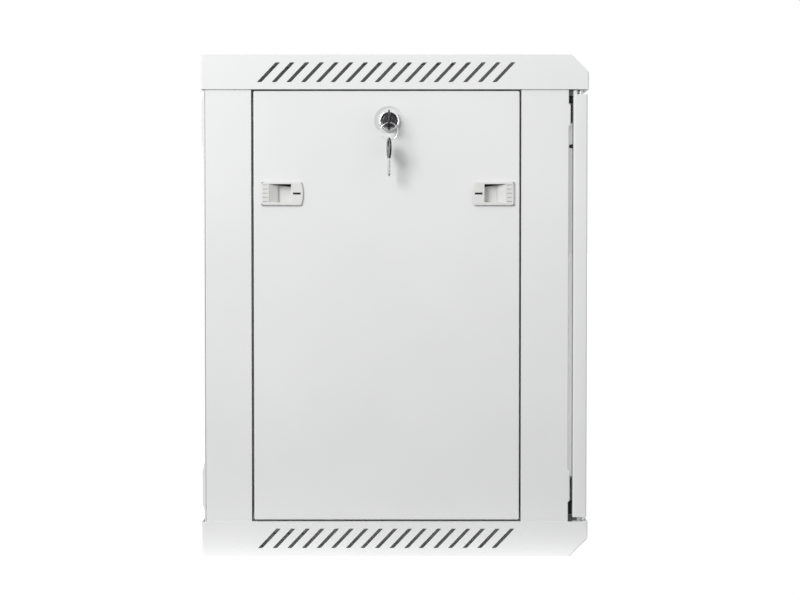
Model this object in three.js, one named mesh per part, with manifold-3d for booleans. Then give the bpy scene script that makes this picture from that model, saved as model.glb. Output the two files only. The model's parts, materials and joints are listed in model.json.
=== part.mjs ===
// A wall-mounted 19 inch network cabinet, nine rack units high, in millimetres.
// +Z is up and -Y is the front, where the glass door is; X runs across the cabinet.
// The origin is the middle of the underside, so the cabinet stands on the plane z = 0.
import * as THREE from "three";
import { mergeVertices } from "three/addons/utils/BufferGeometryUtils.js";
import Module from "manifold-3d";

const wasm = await Module();
wasm.setup();

// ---- driving dimensions ----
const WIDTH = 540;
const DEPTH = 386;
const HEIGHT = 500;
const SHEET = 1.2; // covers, door and side panels
const FRAME_SHEET = 1.5; // pillars and rail brackets
const RAIL_SHEET = 2;
const GAP = 0.3; // between pieces that touch

const COVER_HEIGHT = 34.5; // how far the top and bottom covers reach down and up the sides
const CHAMFER = 17.3; // the 45 degree fold along the covers' front edges
const FRONT_RETURN = 15; // the flange under the covers' front lip, which holds the hinge pins
const SIDE_RETURN = 18.7; // the flange along a side opening, which the cam locks behind

const SLOT = { count: 17, pitch: 14.6, height: 19.5, lean: 18.6, width: 4.4, middleY: 8.4, fromEdge: 17.7 };

const PILLAR = { outer: 47.3, frontY: -173.3, rearY: 188.5, flange: 30, inboard: 20.5 };
const PANEL = { rearY: 140.5, frontY: -124, top: 463.8, bottom: 36, deep: 12 };
const BACK_PANEL_Y = 188.8;
const BACK_PAD = { proud: 2.3, from: 146, slope: 10, places: [[405.5, 461.5], [43.7, 94]] };
const KEYHOLE = { head: 6, shank: 3.2, rise: 12, x: 205, places: [428, 63] }; // head and shank radius
const REAR_ENTRY = { halfX: 130, z0: 56, z1: 126 };
const COVER_ENTRY = { halfX: 120, y0: 105, y1: 165, plateEdge: 10 };
const KNOCKOUT = { x: 66, inner: 14, outer: 15.2, deep: 0.5 };
const FAN = { x: 105, y: -25, radius: 56, screwPitch: 105, slots: 8, slotShare: 0.27, screwHole: 2.2 };
const FAN_PLATE = { halfX: 172, halfY: 64 };

const PILLAR_PAD = { proud: 1.9, wide: 16, places: [[428, 452], [53.5, 87.5]] };

const DOOR = { frontY: -192, thick: 14.2, bottom: 38.8, top: 460.6, lip: 12 };
const DOOR_TAB = { x0: 0.5, x1: 6, deep: 4, above: 4.4 }; // on the door's top corner, from its side face
const WINDOW = { halfX: 195, z0: 58, z1: 442, rebate: 12, glass: 4 };
const HINGE = { x: -262, y: -185.3, pin: 2, hole: 2.5 };
const HINGE_BRACKET = { top: [429, 451], bottom: [58, 86] };
const HINGE_PIN_COLLAR = { z: 445.5, height: 4, radius: 3.4 };
const HINGE_PIN_FINGER = { reach: 17, half: 1.2 };
const LOWER_COLLAR = 4.2;
const BUMPER = { x: 261, z: 409.3, radius: 2.2, long: 3.4 };
const DOOR_PAD = { x0: -261.8, x1: -257.2, thick: 3.6, top: [452.5, 459.8], bottom: [41, 54] };
const GLASS_STRIP = { out: 4, over: 8 }; // how far it reaches past the glass's edge, and over the glass

const LOCK = { headRadius: 10.4, barrelRadius: 9.2, plugRadius: 6.5, dish: 2, dishRadius: 14.8, dishSlope: 3.6 };
const LOCK_NUT = { corner: 13.6, thick: 3.5 };
const PLUG = { front: 2, keyHalf: 1.3, keyHeight: 4.5, keyDepth: 14.5, tail: 3.5, tailSpare: 0.4, tap: 1.9 };
const CAM = { thick: 2, length: 38, half: 7, hub: 8.5, corner: 4, square: 3.8 };
const CAM_SCREW = { head: 5, height: 2, shank: 1.5, length: 3.8 };
const SIDE_LOCK = { y: 5.5, z: 434.2 };
const DOOR_LOCK = { x: 227, z: 250 };
const CAM_DEPTH = { side: 17.6, door: 21 }; // from a panel's face to the cam behind it
const KEY = { bow: 10.25, hole: 3.6, holeOffset: 5, blade: 17.5, half: 4.1, tip: 2.5, thick: 2, reach: 3.8 };
const RING = { radius: 8.6, wire: 0.6 };
const SPARE_KEY_TURN = THREE.MathUtils.degToRad(10);

// In a latch's frame z points out of the panel, y up, and +x to the panel's edge that it locks to.
const LATCH = { height: 24.4, edge: 21, proud: 2, travel: 4.5, z: 361.8, frontY: -97.9, rearY: 111.6 };
const LATCH_BOW = 1.9; // how far the latch's end away from that edge bows out
const LATCH_DASH = { from: 3.4, to: 10.4, half: 0.7, deep: 0.8 };
const LATCH_WALL = 1.2;
const RECESS = { x0: -9, ramp: -4.5, x1: 12.6, y0: -9, y1: 9.5, floor: -6, lip: 0.4 };
const KEEPER = { out: 2, thick: 1.2 }; // ledges behind the panel's skin that hold the latch in it
const TONGUE = { half: 7, z0: -7.2, z1: -5, past: 1, clear: 0.6 };

const RAIL = { frontY: -120, deep: 35, inner: 224.5, outer: 243, half: 202, holeX: 232.56 };
const RACK_UNIT = 44.45;
const RACK_UNITS = 9;
const RACK_HOLES = { up: [6.35, 22.225, 38.1], half: 4.75 }; // three square holes in each unit
const BRACKET = { height: 24, top: 448, bottom: 52, foot: 6, slotHalf: 3.6, slotMargin: 6, rearSlot: 48 };
const RAIL_TRAVEL = 60;
const BOLT = { radius: 3, hole: 3.4, head: 3.6, headCorner: 5.6, nut: 3, nutCorner: 5.8, behind: 18 };
const EARTH_STUD = { x: -190, y: 140, radius: 3, top: 22, corner: 5.7, nut: 5, upperNut: 12 };

// ---- places worked out from them ----
const SIDE = WIDTH / 2;
const FRONT = -DEPTH / 2;
const REAR = DEPTH / 2;
const FACE = SIDE - SHEET - GAP; // outer face of the pillars and side panels
const OPENING_FRONT = PILLAR.frontY + PILLAR.outer;
const OPENING_REAR = PILLAR.rearY - PILLAR.outer + 1.6;
const DOOR_BACK = DOOR.frontY + DOOR.thick;
const MOUTH = HEIGHT - COVER_HEIGHT; // the top cover's lower edge
const ROOF_PLATE_Z = HEIGHT - 2 * SHEET - GAP; // the underside of the plates inside the roof
const PILLAR_Z = [SHEET + GAP, HEIGHT - SHEET - GAP];
const BRACKET_X = [-(RAIL.outer + GAP + FRAME_SHEET), -(RAIL.outer + GAP)];
const BOLT_Y = RAIL.frontY + BOLT.behind;
const GLASS_Y = [DOOR.frontY + SHEET + GAP, DOOR.frontY + SHEET + GAP + WINDOW.glass];

// ---- materials ----
const paint = new THREE.MeshStandardMaterial({ color: 0xdadcda, roughness: 0.5, metalness: 0 });
const zinc = new THREE.MeshStandardMaterial({ color: 0xc3c6c8, roughness: 0.35, metalness: 1 });
const chrome = new THREE.MeshStandardMaterial({ color: 0xe6e6e8, roughness: 0.08, metalness: 1 });
const darkNickel = new THREE.MeshStandardMaterial({ color: 0x4a484c, roughness: 0.2, metalness: 1 });
const plastic = new THREE.MeshStandardMaterial({ color: 0xe2e2e0, roughness: 0.42, metalness: 0 });
const rubber = new THREE.MeshStandardMaterial({ color: 0x141414, roughness: 0.8, metalness: 0 });
const glass = new THREE.MeshStandardMaterial({
  color: 0x8b9296, roughness: 0.05, metalness: 0, transparent: true, opacity: 0.35,
});

// ---- solids ----
function solid(geometry) {
  const bare = geometry.index ? geometry.toNonIndexed() : geometry;
  bare.deleteAttribute("normal");
  bare.deleteAttribute("uv");
  const merged = mergeVertices(bare, 1e-3);
  const corners = merged.index.array;
  const kept = [];
  // A turned profile has empty triangles on its axis, which are left out.
  for (let i = 0; i < corners.length; i += 3) {
    const [a, b, c] = corners.slice(i, i + 3);
    if (a !== b && b !== c && c !== a) kept.push(a, b, c);
  }
  return new wasm.Manifold(
    new wasm.Mesh({
      numProp: 3,
      vertProperties: new Float32Array(merged.attributes.position.array),
      triVerts: new Uint32Array(kept),
    }),
  );
}

function mesh(name, body, material) {
  const { numProp, numVert, vertProperties, triVerts } = body.getMesh();
  const positions = new Float32Array(numVert * 3);
  for (let i = 0; i < numVert; i++) {
    positions.set(vertProperties.subarray(i * numProp, i * numProp + 3), i * 3);
  }
  const geometry = new THREE.BufferGeometry();
  geometry.setAttribute("position", new THREE.BufferAttribute(positions, 3));
  geometry.setIndex(new THREE.BufferAttribute(new Uint32Array(triVerts), 1));
  geometry.computeVertexNormals();
  const made = new THREE.Mesh(geometry, material);
  made.name = name;
  return made;
}

const join = (...bodies) => bodies.reduce((all, body) => all.add(body));
const cut = (body, ...tools) => tools.reduce((left, tool) => left.subtract(tool), body);

// A block from its lowest to its highest corner.
function block([x0, y0, z0], [x1, y1, z1]) {
  const geometry = new THREE.BoxGeometry(x1 - x0, y1 - y0, z1 - z0);
  geometry.translate((x0 + x1) / 2, (y0 + y1) / 2, (z0 + z1) / 2);
  return solid(geometry);
}

// An outline extruded along an axis: its points are (y, z) for x, (x, z) for y and (x, y) for z.
function prism(axis, from, to, points) {
  const outline = new THREE.Shape(points.map(([a, b]) => new THREE.Vector2(a, b)));
  const geometry = new THREE.ExtrudeGeometry(outline, { depth: to - from, bevelEnabled: false });
  const [x, y, z] = [new THREE.Vector3(1, 0, 0), new THREE.Vector3(0, 1, 0), new THREE.Vector3(0, 0, 1)];
  if (axis === "x") {
    geometry.applyMatrix4(new THREE.Matrix4().makeBasis(y, z, x)).translate(from, 0, 0);
  } else if (axis === "y") {
    geometry.applyMatrix4(new THREE.Matrix4().makeBasis(x, z, y.clone().negate())).translate(0, to, 0);
  } else {
    geometry.translate(0, 0, from);
  }
  return solid(geometry);
}

// The corners of a regular polygon, with a flat side facing each way when turn is half a step.
function circle(a, b, radius, sides = 16, turn = 0.5) {
  return Array.from({ length: sides }, (_, i) => {
    const angle = ((i + turn) / sides) * 2 * Math.PI;
    return [a + radius * Math.cos(angle), b + radius * Math.sin(angle)];
  });
}

const rod = (axis, from, to, a, b, radius, sides = 16) => prism(axis, from, to, circle(a, b, radius, sides));

// A slot with round ends along its first axis.
function slotOutline(a0, a1, b, half, steps = 4) {
  const end = (a, start) =>
    Array.from({ length: steps + 1 }, (_, i) => {
      const angle = start + (i / steps) * Math.PI;
      return [a + half * Math.cos(angle), b + half * Math.sin(angle)];
    });
  return [...end(a1 - half, -Math.PI / 2), ...end(a0 + half, Math.PI / 2)];
}

// A (radius, z) outline turned about the z axis. One that starts and ends on the axis is closed by it.
function revolve(outline, sides = 24) {
  const points = outline.map(([r, z]) => new THREE.Vector2(r, z));
  if (THREE.ShapeUtils.area(points) < 0) points.reverse();
  if (points[0].x > 0) points.push(points[0]);
  const geometry = new THREE.LatheGeometry(points, sides);
  geometry.rotateX(Math.PI / 2);
  return solid(geometry);
}

// ---- top and bottom covers ----
// The side outline of the top cover, at a distance in from its outer surface, down to a mouth.
function coverOutline(inset, mouth) {
  const bend = inset * Math.tan(Math.PI / 8);
  return [
    [REAR - inset, mouth],
    [REAR - inset, HEIGHT - inset],
    [FRONT + CHAMFER + bend, HEIGHT - inset],
    [FRONT + inset, HEIGHT - CHAMFER - bend],
    [FRONT + inset, mouth],
  ];
}

// The vent slots lean towards the front, in both side lips at once.
function ventSlots(middleZ) {
  const { count, pitch, height, lean, width, middleY } = SLOT;
  return Array.from({ length: count }, (_, i) => {
    const y = middleY + (i - (count - 1) / 2) * pitch;
    const [low, high] = [y + lean / 2, y - lean / 2];
    return prism("x", -SIDE - 1, SIDE + 1, [
      [low - width / 2, middleZ - height / 2],
      [low + width / 2, middleZ - height / 2],
      [high + width / 2, middleZ + height / 2],
      [high - width / 2, middleZ + height / 2],
    ]);
  });
}

// A folded tray with a flange along its front lip and along each side opening. The bottom cover is
// the same tray upside down, but its vents lean the same way.
function cover(upsideDown) {
  const toZ = (z) => (upsideDown ? HEIGHT - z : z);
  const inside = SIDE - SHEET;
  const overlap = 0.1; // how far the flanges run into the lips, so that they join
  const outline = (inset, mouth) => coverOutline(inset, mouth).map(([y, z]) => [y, toZ(z)]);
  const tray = cut(
    prism("x", -SIDE, SIDE, outline(0, MOUTH)),
    prism("x", -inside, inside, outline(SHEET, MOUTH - 1)),
  );
  const [z0, z1] = [toZ(MOUTH), toZ(MOUTH + SHEET)].sort((a, b) => a - b);
  const frontFlange = block(
    [-inside - overlap, FRONT + overlap, z0],
    [inside + overlap, FRONT + FRONT_RETURN, z1],
  );
  const sideFlanges = [-1, 1].map((side) => {
    const [x0, x1] = [side * (SIDE - overlap), side * (SIDE - SIDE_RETURN)].sort((a, b) => a - b);
    return block([x0, OPENING_FRONT + GAP, z0], [x1, OPENING_REAR - GAP, z1]);
  });
  const hingeHole = rod("z", z0 - 1, z1 + 1, HINGE.x, HINGE.y, HINGE.hole, 12);
  return cut(join(tray, frontFlange, ...sideFlanges), hingeHole, ...ventSlots(toZ(HEIGHT - SLOT.fromEdge)));
}

// Parallel slots that fill a circle, and the four screw holes of a fan.
function fanGrille(x, z0, z1) {
  const { y, radius, screwPitch, slots, slotShare, screwHole } = FAN;
  const step = (2 * radius) / slots;
  const bars = Array.from({ length: slots }, (_, i) => {
    const across = -radius + step * (i + 0.5);
    const half = Math.sqrt(radius ** 2 - across ** 2);
    return prism("z", z0, z1, slotOutline(x - half, x + half, y + across, step * slotShare, 2));
  });
  const corners = [-1, 1].flatMap((a) => [-1, 1].map((b) => [a * screwPitch / 2, b * screwPitch / 2]));
  return [...bars, ...corners.map(([a, b]) => rod("z", z0, z1, x + a, y + b, screwHole, 8))];
}

function entryCutout(z0, z1) {
  const { halfX, y0, y1 } = COVER_ENTRY;
  return block([-halfX, y0, z0], [halfX, y1, z1]);
}

function topCover() {
  const [z0, z1] = [HEIGHT - SHEET - 1, HEIGHT + 1];
  return cut(cover(false), ...fanGrille(-FAN.x, z0, z1), ...fanGrille(FAN.x, z0, z1), entryCutout(z0, z1));
}

function bottomCover() {
  const studHole = rod("z", -1, SHEET + 1, EARTH_STUD.x, EARTH_STUD.y, EARTH_STUD.radius + GAP, 12);
  return cut(cover(true), studHole, entryCutout(-1, SHEET + 1));
}

// A plate that closes a cover's cable entry from inside, with two round knock-outs scored from outside.
function entryPlate(z0, outside) {
  const { halfX, y0, y1, plateEdge } = COVER_ENTRY;
  const { x, inner, outer, deep } = KNOCKOUT;
  const plate = block(
    [-halfX - plateEdge, y0 - plateEdge, z0],
    [halfX + plateEdge, y1 + plateEdge, z0 + SHEET],
  );
  const [g0, g1] = outside > 0 ? [z0 + SHEET - deep, z0 + SHEET + 1] : [z0 - 1, z0 + deep];
  const y = (y0 + y1) / 2;
  const grooves = [-x, x].map((a) =>
    cut(rod("z", g0, g1, a, y, outer, 24), rod("z", g0 - 1, g1 + 1, a, y, inner, 24)),
  );
  return cut(plate, ...grooves);
}

// A plate under the roof that blanks off both fan places until fans are fitted.
function fanPlate() {
  const { halfX, halfY } = FAN_PLATE;
  return block([-halfX, FAN.y - halfY, ROOF_PLATE_Z], [halfX, FAN.y + halfY, ROOF_PLATE_Z + SHEET]);
}

// ---- pillars, back and rail brackets ----
// Slots that the latch tongues enter, through a pillar's inboard flange.
function tongueSlot(y0, y1) {
  return block(
    [-FACE - TONGUE.z1 - TONGUE.clear, y0 - 1, LATCH.z - TONGUE.half - 0.8],
    [-FACE - TONGUE.z0 + TONGUE.clear, y1 + 1, LATCH.z + TONGUE.half + 0.8],
  );
}

function frontPillar() {
  const t = FRAME_SHEET;
  const section = [
    [-FACE, PILLAR.frontY],
    [-FACE + PILLAR.flange, PILLAR.frontY],
    [-FACE + PILLAR.flange, PILLAR.frontY + t],
    [-FACE + t, PILLAR.frontY + t],
    [-FACE + t, OPENING_FRONT - t],
    [-FACE + PILLAR.inboard, OPENING_FRONT - t],
    [-FACE + PILLAR.inboard, OPENING_FRONT],
    [-FACE, OPENING_FRONT],
  ];
  const body = prism("z", ...PILLAR_Z, section);
  return cut(join(body, ...PILLAR_PAD.places.map(frontPad)), tongueSlot(OPENING_FRONT - t, OPENING_FRONT));
}

// Pads pressed forward in the front flange, which hold the door off the frame at its corners.
function frontPad([z0, z1]) {
  const { proud, wide } = PILLAR_PAD;
  const y = PILLAR.frontY + 0.2;
  return prism("x", -FACE, -FACE + wide, [
    [y, z0], [y, z1], [y - proud, z1 - proud], [y - proud, z0 + proud],
  ]);
}

function rearPillar() {
  const t = FRAME_SHEET;
  return cut(
    prism("z", ...PILLAR_Z, [
      [-FACE, OPENING_REAR],
      [-FACE + PILLAR.inboard, OPENING_REAR],
      [-FACE + PILLAR.inboard, OPENING_REAR + t],
      [-FACE + t, OPENING_REAR + t],
      [-FACE + t, PILLAR.rearY - t],
      [-FACE + PILLAR.flange, PILLAR.rearY - t],
      [-FACE + PILLAR.flange, PILLAR.rearY],
      [-FACE, PILLAR.rearY],
    ]),
    tongueSlot(OPENING_REAR, OPENING_REAR + t),
  );
}

// A keyhole: the screw's head goes in below, and its shank slides up the narrow part.
function keyhole(x, z) {
  const { head, shank, rise } = KEYHOLE;
  const narrow = slotOutline(z, z + rise, x, shank).map(([a, b]) => [b, a]).reverse();
  return join(
    prism("y", BACK_PANEL_Y - 1, REAR, circle(x, z, head, 16)),
    prism("y", BACK_PANEL_Y - 1, REAR, narrow),
  );
}

// A pad pressed out of the back panel, with sloping ends, or the hollow behind it. It runs to the
// panel's side edge.
function backPad(side, [z0, z1], inset, back) {
  const { proud, from, slope } = BACK_PAD;
  const [near, far] = [from + inset, FACE - GAP - inset];
  const face = back + proud;
  const corners = [
    [near, back, z0 + inset], [near, back, z1 - inset],
    [far, back, z0 + inset], [far, back, z1 - inset],
    [near + slope, face, z0 + slope], [near + slope, face, z1 - slope],
    [far, face, z0 + slope], [far, face, z1 - slope],
  ];
  const under = corners.slice(0, 4).map(([x, , z]) => [x, BACK_PANEL_Y + (inset ? -1 : 0.1), z]);
  return wasm.Manifold.hull([...corners, ...under].map(([x, y, z]) => [side * x, y, z]));
}

function backPanel() {
  const y0 = BACK_PANEL_Y;
  const y1 = y0 + SHEET;
  const [z0, z1] = PILLAR_Z;
  const sheet = block([-FACE + GAP, y0, z0], [FACE - GAP, y1, z1]);
  const padPlaces = [-1, 1].flatMap((side) => BACK_PAD.places.map((z) => [side, z]));
  const pads = padPlaces.map(([side, z]) => backPad(side, z, 0, y1));
  const hollows = padPlaces.map(([side, z]) => backPad(side, z, SHEET, y0));
  const holes = [-KEYHOLE.x, KEYHOLE.x].flatMap((x) => KEYHOLE.places.map((z) => keyhole(x, z)));
  const { halfX: w, z0: low, z1: high } = REAR_ENTRY;
  return cut(join(sheet, ...pads), ...hollows, ...holes, block([-w, y0 - 1, low], [w, y1 + 1, high]));
}

// A bar along one side between the pillars, turned out at both ends, with slots for the rail's bolts.
function railBracket(z) {
  const [outer, inner] = BRACKET_X;
  const t = FRAME_SHEET;
  const front = OPENING_FRONT - FRAME_SHEET - GAP;
  const rear = OPENING_REAR + FRAME_SHEET + GAP;
  const reach = -FACE + BRACKET.foot;
  const bar = prism("z", z - BRACKET.height / 2, z + BRACKET.height / 2, [
    [inner, front - t], [inner, rear + t], [reach, rear + t], [reach, rear],
    [outer, rear], [outer, front], [reach, front], [reach, front - t],
  ]);
  const length = RAIL_TRAVEL + 2 * BRACKET.slotMargin;
  const slots = [BOLT_Y - BRACKET.slotMargin, BRACKET.rearSlot].map((y) =>
    prism("x", outer - 1, inner + 1, slotOutline(y, y + length, z, BRACKET.slotHalf)),
  );
  return cut(bar, ...slots);
}

// ---- rack rails ----
function rackRail() {
  const { frontY, deep, inner, outer, half, holeX } = RAIL;
  const [z0, z1] = [HEIGHT / 2 - half, HEIGHT / 2 + half];
  const t = RAIL_SHEET;
  const angle = prism("z", z0, z1, [
    [-outer, frontY], [-inner, frontY], [-inner, frontY + t],
    [-outer + t, frontY + t], [-outer + t, frontY + deep], [-outer, frontY + deep],
  ]);
  const low = HEIGHT / 2 - (RACK_UNITS * RACK_UNIT) / 2;
  const { up: heights, half: h } = RACK_HOLES;
  const holes = Array.from({ length: RACK_UNITS }, (_, unit) => heights.map((up) => {
    const z = low + unit * RACK_UNIT + up;
    return block([-holeX - h, frontY - 1, z - h], [-holeX + h, frontY + t + 1, z + h]);
  })).flat();
  const boltHoles = [BRACKET.top, BRACKET.bottom].map((z) =>
    rod("x", -outer - 1, -outer + t + 1, BOLT_Y, z, BOLT.hole, 12),
  );
  return cut(angle, ...holes, ...boltHoles);
}

// A hexagon bolt through the rail's side flange and the bracket's slot, with its nut outboard.
function railBolt(z) {
  const [outer, inner] = BRACKET_X;
  const headX = -RAIL.outer + RAIL_SHEET + GAP;
  const nutX = outer - GAP;
  return join(
    rod("x", nutX - BOLT.nut - GAP, headX + 1, BOLT_Y, z, BOLT.radius, 12),
    rod("x", headX, headX + BOLT.head, BOLT_Y, z, BOLT.headCorner, 6),
    rod("x", nutX - BOLT.nut, nutX, BOLT_Y, z, BOLT.nutCorner, 6),
  );
}

// ---- locks, in a frame of their own: z points out of the panel, y up, and z = 0 is its outer face ----
// The dished seat that a sheet has round a lock, as what to add behind it and what to cut out of it.
function lockSeat() {
  const { dish, dishRadius, dishSlope, barrelRadius } = LOCK;
  const back = -dish - SHEET;
  return {
    add: revolve([[0, -SHEET + 0.1], [dishRadius + 0.9, -SHEET + 0.1], [dishRadius - dishSlope + 1.2, back], [0, back]]),
    cut: join(
      revolve([[0, 0.5], [dishRadius + 0.6, 0.5], [dishRadius, 0], [dishRadius - dishSlope, -dish], [0, -dish]]),
      rod("z", back - 1, 1, 0, 0, barrelRadius + GAP + 0.1, 20),
    ),
  };
}

// A barrel with a crowned head. camZ is where the cam's front face lies.
function lockBody(camZ) {
  const { headRadius: head, barrelRadius: barrel, plugRadius, dish } = LOCK;
  const bore = plugRadius + GAP;
  const front = -dish + GAP;
  const back = camZ + 0.6;
  return revolve([
    [bore, back], [barrel, back], [barrel, front], [head, front],
    [head, 1], [head - 0.8, 2.4], [head - 1.9, 3], [bore + 0.9, 2.6], [bore, 1.9],
  ], 20);
}

function lockNut() {
  const z1 = -LOCK.dish - SHEET - GAP;
  return cut(
    prism("z", z1 - LOCK_NUT.thick, z1, circle(0, 0, LOCK_NUT.corner, 6)),
    rod("z", z1 - LOCK_NUT.thick - 1, z1 + 1, 0, 0, LOCK.barrelRadius + GAP + 0.1, 16),
  );
}

function lockPlug(camZ) {
  const { front, keyHalf, keyHeight, keyDepth, tail, tailSpare, tap } = PLUG;
  const tailEnd = camZ - CAM.thick - tailSpare;
  return cut(
    join(
      rod("z", camZ + GAP, front, 0, 0, LOCK.plugRadius, 20),
      block([-tail, -tail, tailEnd], [tail, tail, camZ + 1]),
    ),
    block([-keyHalf, -keyHeight, -keyDepth], [keyHalf, keyHeight, front + 1]),
    rod("z", tailEnd - 1, tailEnd + CAM_SCREW.length + 0.2, 0, 0, tap, 10),
  );
}

function lockCam(camZ) {
  const { thick, length, half, hub, corner, square } = CAM;
  const [z0, z1] = [camZ - thick, camZ];
  const arm = [
    [0, -half], [length - corner, -half], [length, -half + corner],
    [length, half - corner], [length - corner, half], [0, half],
  ];
  const tailHole = block([-square, -square, z0 - 1], [square, square, z1 + 1]);
  return cut(join(prism("z", z0, z1, circle(0, 0, hub, 16)), prism("z", z0, z1, arm)), tailHole);
}

function camScrew(camZ) {
  const { head, height, shank, length } = CAM_SCREW;
  const seat = camZ - CAM.thick - PLUG.tailSpare - GAP;
  return join(
    rod("z", seat - height, seat, 0, 0, head, 12),
    rod("z", seat - 0.5, seat + length, 0, 0, shank, 8),
  );
}

// A flat key with its bow's hole at the origin; the blade points along -y and its thickness is along x.
function key() {
  const { bow, hole, holeOffset, blade, half, tip: slant, thick } = KEY;
  const tip = -holeOffset - bow - blade;
  const neck = -holeOffset - bow + 2.25; // inside the bow, so that the blade joins it
  const outline = [
    [neck, half], [tip + slant, half], [tip, half - slant],
    [tip, -half + slant], [tip + slant, -half], [neck, -half],
  ];
  return cut(
    join(
      prism("x", -thick / 2, thick / 2, circle(-holeOffset, 0, bow, 24)),
      prism("x", -thick / 2, thick / 2, outline),
    ),
    prism("x", -thick, thick, circle(0, 0, hole, 16)),
  );
}

function keyRing() {
  return solid(new THREE.TorusGeometry(RING.radius, RING.wire, 8, 32));
}

// The body, nut, plug, cam and screw of one lock. camTurn is the way the cam points when unlocked.
function lock(prefix, camTurn, camDepth) {
  const group = new THREE.Group();
  const cam = mesh(`${prefix}_lock_cam`, lockCam(-camDepth), zinc);
  cam.rotation.z = camTurn;
  group.add(
    mesh(`${prefix}_lock_body`, lockBody(-camDepth), chrome),
    mesh(`${prefix}_lock_nut`, lockNut(), zinc),
    mesh(`${prefix}_lock_plug`, lockPlug(-camDepth), darkNickel),
    cam,
    mesh(`${prefix}_lock_cam_screw`, camScrew(-camDepth), zinc),
  );
  return group;
}

// The key in the lock, the ring through its bow and the spare key that hangs from the ring.
function keys() {
  const outY = KEY.reach + KEY.bow + KEY.holeOffset;
  const slack = KEY.hole - RING.wire - GAP;
  const inLock = mesh("panel_key", key(), darkNickel);
  inLock.rotation.x = Math.PI / 2;
  inLock.position.z = outY;
  const ring = mesh("key_ring", keyRing(), chrome);
  ring.position.set(0, -slack - RING.radius, outY);
  const spare = mesh("spare_key", key(), darkNickel);
  spare.position.set(0, ring.position.y - RING.radius - slack, outY);
  spare.rotation.y = SPARE_KEY_TURN;
  return [inLock, ring, spare];
}

// ---- side panels and their latches ----
function latch(toEdge) {
  const { height, edge, proud } = LATCH;
  const { x0, ramp, x1, y0, y1, floor, lip } = RECESS;
  const top = GAP + proud;
  const half = height / 2;
  const wall = LATCH_WALL;
  // The end away from the panel's edge is bowed, and the other end's corners are cut.
  const steps = 6;
  const bow = Array.from({ length: steps + 1 }, (_, i) => {
    const share = (2 * i) / steps - 1;
    return [-edge + 1.4 - LATCH_BOW * (1 - share ** 2), -share * half];
  });
  const squareEnd = [[edge - 1, -half], [edge, -half + 1], [edge, half - 1], [edge - 1, half]];
  const plate = prism("z", GAP, top, [...bow, ...squareEnd]);
  // The finger recess is deepest at the bowed end, and its floor sweeps up to the face at the other.
  const sweep = Array.from({ length: steps + 1 }, (_, i) => {
    const share = i / steps;
    return [ramp + (x1 - ramp) * share, floor + (top - lip - floor) * (1 - Math.cos((share * Math.PI) / 2))];
  });
  const hollow = prism("y", y0, y1, [[x0, top + 1], [x0, floor], ...sweep, [x1, top + 1]]);
  const cup = prism("y", y0 - wall, y1 + wall, [
    [x0 - wall, GAP + 0.5], [x0 - wall, floor - wall], [ramp + 4, floor - wall], [x1 + wall, GAP + 0.5],
  ]);
  const tongue = block([0, -TONGUE.half, TONGUE.z0], [toEdge + TONGUE.past, TONGUE.half, TONGUE.z1]);
  const keeperTop = -SHEET - GAP;
  const keepers = block(
    [x0, y0 - wall - KEEPER.out, keeperTop - KEEPER.thick],
    [0, y1 + wall + KEEPER.out, keeperTop],
  );
  const dash = block(
    [-edge + LATCH_DASH.from, -LATCH_DASH.half, top - LATCH_DASH.deep],
    [-edge + LATCH_DASH.to, LATCH_DASH.half, top + 1],
  );
  return cut(join(plate, cup, tongue, keepers), hollow, dash);
}

// What a latch needs cut through the panel's face, and through the return at its edge.
function latchCuts(toEdge) {
  const { x0, x1, y0, y1 } = RECESS;
  const room = LATCH_WALL + GAP;
  const { half, z0, z1, clear } = TONGUE;
  return [
    block([x0 - room, y0 - room, -SHEET - 1], [x1 + room + LATCH.travel, y1 + room, 1]),
    block([toEdge - SHEET - 1, -half - clear, z0 - clear], [toEdge + 1, half + clear, z1 + clear]),
  ];
}

// Turns a piece from a lock's or latch's frame into place on the left side, at a y and z.
function onLeftSide(y, z, mirrored = false) {
  const front = new THREE.Vector3(0, -1, 0);
  const up = new THREE.Vector3(0, 0, 1);
  const left = new THREE.Vector3(-1, 0, 0);
  if (mirrored) front.negate();
  return new THREE.Matrix4().makeBasis(front, up, left).setPosition(-FACE, y, z);
}

const LATCHES = [
  { name: "front_latch", y: LATCH.frontY, toEdge: LATCH.frontY - PANEL.frontY, mirrored: false },
  { name: "rear_latch", y: LATCH.rearY, toEdge: PANEL.rearY - LATCH.rearY, mirrored: true },
];

// The same turn for a solid. Mirroring needs its faces turned round, so it is done on a mesh.
function placed(body, matrix) {
  const made = mesh("", body, paint).geometry.applyMatrix4(matrix);
  if (matrix.determinant() < 0) {
    const { array } = made.index;
    for (let i = 0; i < array.length; i += 3) [array[i + 1], array[i + 2]] = [array[i + 2], array[i + 1]];
  }
  return solid(made);
}

function sidePanel() {
  const { rearY, frontY, top, bottom, deep } = PANEL;
  const tray = cut(
    block([-FACE, frontY, bottom], [-FACE + deep, rearY, top]),
    block([-FACE + SHEET, frontY + SHEET, bottom + SHEET], [-FACE + deep + 1, rearY - SHEET, top - SHEET]),
  );
  const seat = lockSeat();
  const lockPlace = onLeftSide(SIDE_LOCK.y, SIDE_LOCK.z);
  const latchHoles = LATCHES.flatMap(({ y, toEdge, mirrored }) =>
    latchCuts(toEdge).map((hole) => placed(hole, onLeftSide(y, LATCH.z, mirrored))),
  );
  return cut(tray.add(placed(seat.add, lockPlace)), placed(seat.cut, lockPlace), ...latchHoles);
}

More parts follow.
